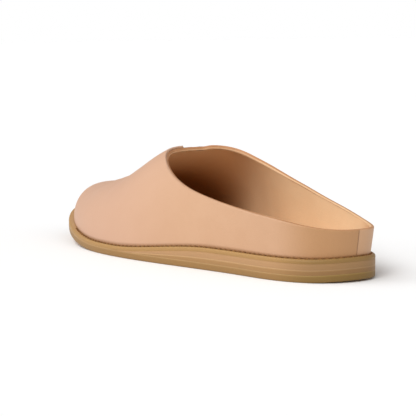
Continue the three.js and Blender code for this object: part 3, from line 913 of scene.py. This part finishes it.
def make_wrap():
    """The wrap covers the lateral side and crosses the ridge ahead of the throat, to the medial seam."""
    foot, rim, up = columns(1)
    rows = ROWS + SEAM_ROWS
    behind = np.arange(COLUMNS + 1) < REAR_COLUMNS
    ahead = np.clip((foot - THROAT_X) / (SEAM_END_X - THROAT_X), 0, 1)
    start = (1 - SEAM_START) * np.clip(1 - ahead / SEAM_START_EASE, 0, 1) ** 2
    stop = np.where(foot > THROAT_X, 2 - seam_up(foot), 1.0) - start
    stop = np.where(behind, np.minimum(up, SEAM_START), stop)
    share = stop[:, None] * row_shares(foot, rim, np.minimum(stop, 1), 1, rows)
    x = foot[:, None] + (rim - foot)[:, None] * share / np.maximum(up, LEAST_UP)[:, None]
    x = np.where(behind[:, None], x, foot[:, None])
    near = last_point(x, np.minimum(share, 1), 1)
    over = last_point(x, np.minimum(2 - share, 1), -1)
    points = np.where((share > 1)[..., None], over, near).reshape(-1, 3)
    faces = grid_faces(COLUMNS + 1, rows + 1)
    made, faces, materials = leather_sheet(
        points, faces, wrap_inner, wrap_outer, WRAP_ROUND_OUT, WRAP_ROUND_IN, INNER_SLOT, wrap_edge_slot)
    # The base and heel attributes carry painted shade; the vamp attribute carries a tone of the leather.
    attributes = {"edge": to_base_shade(made), "heel": to_heel_shade(made), "vamp": to_vamp(made)}
    leathers = [wrap_leather, lining_leather, cut_edge]
    piece = finished("wrap_leather_panel", made, faces, leathers, attributes, materials)
    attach(piece, "root")
    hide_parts("wrap_panel")


def outline_loop(count, front=None):
    """Edge points of the sole from the heel along the lateral side and back along the medial side."""
    turn = np.linspace(0, 1, count + 1)
    if front is None:
        x = SOLE_LENGTH * (1 - np.cos(math.pi * turn)) / 2
    else:
        x = front * (1 - np.cos(math.pi / 2 * turn))
    _, lateral, medial = edges(x, 0, 0, 0, SOLE_LENGTH)
    last = -1 if front is None else None
    return np.concatenate([np.stack([x, lateral], 1), np.stack([x, medial], 1)[1:last][::-1]])


def loop_normals(loop):
    """Outward directions at the points of a loop in plan."""
    step = np.roll(loop, -1, 0) - np.roll(loop, 1, 0)
    return unit(np.stack([-step[:, 1], step[:, 0]], 1))


def sole_layer(name, loop, under, top, round_under, round_top, bulge, edge_leather, node):
    """A layer of the sole with a rounded edge, its faces closed by strips across the shoe."""
    normals = loop_normals(loop)
    x = loop[:, 0]
    thick = top(x) - under(x)
    low = np.minimum(round_under, EDGE_ROUND_LIMIT * thick)
    high = np.minimum(round_top, EDGE_ROUND_LIMIT * thick)
    profile = [(low * (1 - np.sin(a)), under(x) + low * (1 - np.cos(a))) for a in QUARTER_TURN]
    for share in EDGE_WALL_ROWS:
        swell = bulge * (1 - (2 * share - 1) ** 2)
        profile.append((np.full(len(x), -swell), mix(under(x) + low, top(x) - high, share)))
    profile += [(high * (1 - np.cos(a)), top(x) - high * (1 - np.sin(a))) for a in QUARTER_TURN]
    rings = [np.column_stack([loop - normals * inset[:, None], z]) for inset, z in profile]
    count = len(loop)
    faces = []
    for r in range(len(rings) - 1):
        for i in range(count):
            j = (i + 1) % count
            faces.append((r * count + i, (r + 1) * count + i, (r + 1) * count + j, r * count + j))
    half = count // 2
    last = (len(rings) - 1) * count
    for i in range(half):
        j = i + 1
        a = (count - i) % count
        b = count - j
        faces.append((i, j, b, a) if a != i else (i, j, b))
        faces.append((last + i, last + a, last + b, last + j) if a != i else (last + i, last + b, last + j))
    faces = [tuple(dict.fromkeys(f)) for f in faces]
    points = np.concatenate(rings)
    run = np.concatenate([[0], np.cumsum(np.linalg.norm(np.diff(loop, axis=0), axis=1))])
    height = np.concatenate([z - under(x) for _, z in profile])
    uv = np.column_stack([np.tile(run, len(rings)) / 1000, height / 1000])
    edge = np.clip(1 - (np.tile(thick, len(rings)) - height) / TOP_LINE, 0, 1)
    walls = (len(rings) - 1) * count
    slots = [0] * walls + [1] * (len(faces) - walls)
    # The heel attribute carries painted shade on the layer's heel end; the edge attribute marks the line
    # along its top.
    attributes = {"edge": edge, "heel": to_heel_shade(points)}
    piece = finished(name, points, faces, [edge_leather, sole_face], attributes, slots, uv)
    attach(piece, "root")
    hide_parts(node)


def lift_room(x):
    """Room for the two lifts between outsole and welt, without the three gaps."""
    return welt_under(x) - outsole_top(x) - 3 * LAYER_GAP


def lift_end(room):
    """The last station with more than this room for the lifts."""
    x = np.linspace(LIFT_FULL_TO, LIFT_GONE_AT, LIFT_SAMPLES) * SOLE_LENGTH
    return float(x[lift_room(x) > room][-1])


LOWER_END = lift_end(LOWER_LIFT_END_THICK / LOWER_LIFT_SHARE)
UPPER_END = lift_end(UPPER_LIFT_END_ROOM)


def past_lower(x):
    """0 up to the lower lift's end, rising to 1 at its tip."""
    return ease((x - LOWER_END) / LIFT_TIP_LENGTH)


def outsole_upper_face(x):
    return outsole_top(x) + GROW


def lower_under(x):
    return outsole_upper_face(x) + JOINT


def lower_top(x):
    full = outsole_top(x) + LAYER_GAP + LOWER_LIFT_SHARE * lift_room(x) + GROW
    return mix(full, lower_under(x) + LIFT_TIP_THICK, past_lower(x))


def upper_under(x):
    return mix(lower_top(x) + JOINT, lower_under(x), past_lower(x))


def welt_lower_face(x):
    return welt_under(x) - GROW


def upper_top(x):
    return welt_lower_face(x) - JOINT


def make_sole():
    sole_layer("outsole_layer", outline_loop(170), floor_side, outsole_upper_face,
               round_under=0.9, round_top=0.06, bulge=0.1,
               edge_leather=outsole_edge, node="outsole")
    sole_layer("lower_lift_layer", outline_loop(120, LOWER_END + LIFT_TIP_LENGTH), lower_under, lower_top,
               round_under=0.05, round_top=0.06, bulge=0.06,
               edge_leather=lower_lift_edge, node="heel_lift_lower")
    sole_layer("upper_lift_layer", outline_loop(130, UPPER_END), upper_under, upper_top,
               round_under=0.05, round_top=0.06, bulge=0.06,
               edge_leather=upper_lift_edge, node="heel_lift_upper")
    sole_layer("welt_layer", outline_loop(170), welt_lower_face, welt_top,
               round_under=0.05, round_top=0.8, bulge=0.1,
               edge_leather=welt_edge, node="welt")


def base_loop(grow):
    """The upper's base line in plan, moved outward by a distance."""
    foot, _, _ = columns(1)
    _, lateral, medial = shell_edges(foot)
    loop = np.concatenate([np.stack([foot, lateral], 1), np.stack([foot, medial], 1)[1:-1][::-1]])
    return loop + loop_normals(loop) * np.reshape(grow, (-1, 1))


def make_footbed():
    """A thin cushion that rises a little all round its edge."""
    loop = base_loop(-(WALL + FOOTBED_CLEARANCE))
    half = len(loop) // 2
    near = loop[: half + 1, None]
    far = np.concatenate([loop[:1], loop[half:][::-1]])[:, None]
    across = ((1 + np.sin(np.linspace(-1, 1, FOOTBED_ROWS) * math.pi / 2)) / 2)[:, None]
    plan = mix(far, near, across).reshape(-1, 2)
    inward = np.array([np.sqrt(((loop - p) ** 2).sum(1).min()) for p in plan])
    base = upper_base(plan[:, 0])
    cup = CUP_HEIGHT * np.clip(1 - inward / CUP_WIDTH, 0, 1) ** 3 - CUP_EDGE_DROP * (inward < AT_EDGE)
    top = np.column_stack([plan, base + FOOTBED_THICK - FOOTBED_SINK + cup])
    under = np.column_stack([plan, base + FOOTBED_LIFT])
    n = len(top)
    faces = grid_faces(half + 1, FOOTBED_ROWS, flip=True) + grid_faces(half + 1, FOOTBED_ROWS, n)
    for k in range(half):
        a = k * FOOTBED_ROWS
        b = a + FOOTBED_ROWS
        faces.append((a, a + n, b + n, b))
        a += FOOTBED_ROWS - 1
        b += FOOTBED_ROWS - 1
        faces.append((a + n, a, b, b + n))
    points, faces = weld(np.concatenate([top, under]), faces)
    rise = points[:, 2] - upper_base(points[:, 0])
    share = np.clip((rise - CUP_TINT_FROM) / CUP_TINT_HEIGHT, 0, 1)
    piece = finished("footbed_cover", points, faces, [footbed_leather], {"edge": share * CUP_TINT})
    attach(piece, "root")
    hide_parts("footbed")


def stitch_tree():
    """Geometry Nodes: stitches laid end to end along a path."""
    tree = bpy.data.node_groups.new("welt_stitches", "GeometryNodeTree")
    new_sockets(tree, "INPUT", "NodeSocketGeometry", {"Geometry": None})
    new_sockets(tree, "INPUT", "NodeSocketFloat",
                {"Spacing": 0.0036, "Stitch Length": 0.0024, "Thread Radius": 0.00058})
    new_sockets(tree, "INPUT", "NodeSocketMaterial", {"Thread": None})
    new_sockets(tree, "OUTPUT", "NodeSocketGeometry", {"Geometry": None})
    link = tree.links.new
    given = tree.nodes.new("NodeGroupInput")
    out = tree.nodes.new("NodeGroupOutput")
    path = add(tree, "GeometryNodeMeshToCurve")
    link(given.outputs["Geometry"], path.inputs["Mesh"])
    steps = add(tree, "GeometryNodeResampleCurve", mode="LENGTH")
    link(path.outputs["Curve"], steps.inputs["Curve"])
    link(given.outputs["Spacing"], steps.inputs["Length"])
    grain = add(tree, "GeometryNodeMeshUVSphere", inputs={"Segments": 8, "Rings": 6, "Radius": 1.0})
    size = add(tree, "ShaderNodeCombineXYZ")
    link(given.outputs["Thread Radius"], size.inputs["X"])
    link(given.outputs["Thread Radius"], size.inputs["Y"])
    half = add(tree, "ShaderNodeMath", operation="MULTIPLY", inputs={1: 0.5})
    link(given.outputs["Stitch Length"], half.inputs[0])
    link(half.outputs[0], size.inputs["Z"])
    shape = add(tree, "GeometryNodeTransform")
    link(grain.outputs["Mesh"], shape.inputs["Geometry"])
    link(size.outputs["Vector"], shape.inputs["Scale"])
    tangent = add(tree, "GeometryNodeInputTangent")
    turn = add(tree, "FunctionNodeAlignEulerToVector", axis="Z")
    link(tangent.outputs["Tangent"], turn.inputs["Vector"])
    copies = add(tree, "GeometryNodeInstanceOnPoints")
    link(steps.outputs["Curve"], copies.inputs["Points"])
    link(shape.outputs["Geometry"], copies.inputs["Instance"])
    link(turn.outputs["Rotation"], copies.inputs["Rotation"])
    real = add(tree, "GeometryNodeRealizeInstances")
    link(copies.outputs["Instances"], real.inputs["Geometry"])
    paint = add(tree, "GeometryNodeSetMaterial")
    link(real.outputs["Geometry"], paint.inputs["Geometry"])
    link(given.outputs["Thread"], paint.inputs["Material"])
    link(paint.outputs["Geometry"], out.inputs["Geometry"])
    return tree


def set_input(modifier, name, value):
    for item in modifier.node_group.interface.items_tree:
        if item.item_type == "SOCKET" and item.in_out == "INPUT" and item.name == name:
            modifier[item.identifier] = value


def make_stitches():
    plan = base_loop(0.0)
    count = len(plan)
    lateral = np.arange(count) <= count // 2
    on_line = np.column_stack([plan, upper_base(plan[:, 0])])
    wrapped = np.where(lateral, wrap_outer(on_line), WRAP_STEP * past_seam(plan[:, 0]))
    loop = base_loop(wrapped + STITCH_OUT)
    points = np.column_stack([loop, welt_top(loop[:, 0]) + STITCH_UP])
    shown = plan[:, 0] < STITCHES_TO * SOLE_LENGTH
    links = [(i, (i + 1) % count) for i in range(count) if shown[i] and shown[(i + 1) % count]]
    mesh = bpy.data.meshes.new("stitch_path")
    mesh.from_pydata(in_metres(points).tolist(), links, [])
    path = bpy.data.objects.new("stitch_path", mesh)
    bpy.context.scene.collection.objects.link(path)
    modifier = path.modifiers.new("stitches", "NODES")
    modifier.node_group = stitch_tree()
    set_input(modifier, "Thread", thread)
    ready = path.evaluated_get(bpy.context.evaluated_depsgraph_get())
    made = bpy.data.meshes.new_from_object(ready)
    made.name = "welt_stitches"
    bpy.data.objects.remove(path)
    piece = bpy.data.objects.new("welt_stitches", made)
    bpy.context.scene.collection.objects.link(piece)
    made.polygons.foreach_set("use_smooth", np.ones(len(made.polygons), bool))
    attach(piece, "root")


make_shell()
make_wrap()
make_sole()
make_footbed()
make_stitches()

# Studio. The backdrop is white to the camera, and lights the shoe more weakly than that.
FLOOR_REACH = 6.0
FLOOR_GREY = 0.93
SKY_LIGHT = 0.42
VIEW_AZIMUTH = math.radians(234.8)
VIEW_ELEVATION = math.radians(6.5)
VIEW_DISTANCE = 0.98
VIEW_LENS = 150.0
VIEW_SENSOR = 36.0
AIM_HEIGHT = 26.0
AIM = np.array([SOLE_LENGTH / 2 - HEEL_SEAT, 0, AIM_HEIGHT]) / 1000

scene = bpy.context.scene
scene.view_settings.view_transform = "Standard"
floor_mesh = bpy.data.meshes.new("studio_floor")
corners = [(-1, -1), (1, -1), (1, 1), (-1, 1)]
floor_mesh.from_pydata([(FLOOR_REACH * x, FLOOR_REACH * y, 0) for x, y in corners], [], [(0, 1, 2, 3)])
floor = bpy.data.objects.new("studio_floor", floor_mesh)
scene.collection.objects.link(floor)
floor_paint, _, floor_shader = tree_of("studio_floor")
floor_shader.inputs["Base Color"].default_value = (FLOOR_GREY, FLOOR_GREY, FLOOR_GREY, 1)
floor_shader.inputs["Roughness"].default_value = 0.9
floor_shader.inputs["Specular IOR Level"].default_value = 0.0
floor_mesh.materials.append(floor_paint)

world = bpy.data.worlds.new("studio")
scene.world = world
world.use_nodes = True
sky = world.node_tree
backdrop = sky.nodes["Background"]
backdrop.inputs["Color"].default_value = (1, 1, 1, 1)
seen = sky.nodes.new("ShaderNodeLightPath")
strength = sky.nodes.new("ShaderNodeMapRange")
strength.inputs["To Min"].default_value = SKY_LIGHT
strength.inputs["To Max"].default_value = 1.0
sky.links.new(seen.outputs["Is Camera Ray"], strength.inputs["Value"])
sky.links.new(strength.outputs["Result"], backdrop.inputs["Strength"])


def towards(azimuth, elevation):
    flat = math.cos(elevation)
    return np.array([math.sin(azimuth) * flat, -math.cos(azimuth) * flat, math.sin(elevation)])


def look_along(way):
    """Rotation that points a camera or lamp along a direction, kept level."""
    return math.acos(max(-1, min(1, -way[2]))), 0, math.atan2(-way[0], way[1])


def sun(name, azimuth, elevation, power, softness):
    """A soft, even light from one direction."""
    lamp = bpy.data.lights.new(name, "SUN")
    lamp.angle = math.radians(softness)
    lamp.energy = power
    lamp_object = bpy.data.objects.new(name, lamp)
    way = towards(math.radians(azimuth), math.radians(elevation))
    lamp_object.location = AIM + way
    lamp_object.rotation_euler = look_along(-way)
    scene.collection.objects.link(lamp_object)


sun("front_light", 150, 48, 1.25, 60)
sun("side_light", 207, 40, 1.5, 30)
sun("back_light", 290, 35, 0.35, 60)

camera_data = bpy.data.cameras.new("camera")
camera_data.sensor_width = VIEW_SENSOR
camera_data.lens = VIEW_LENS
camera = bpy.data.objects.new("camera", camera_data)
back = towards(VIEW_AZIMUTH, VIEW_ELEVATION)
camera.location = AIM + back * VIEW_DISTANCE
camera.rotation_euler = look_along(-back)
scene.collection.objects.link(camera)
scene.camera = camera
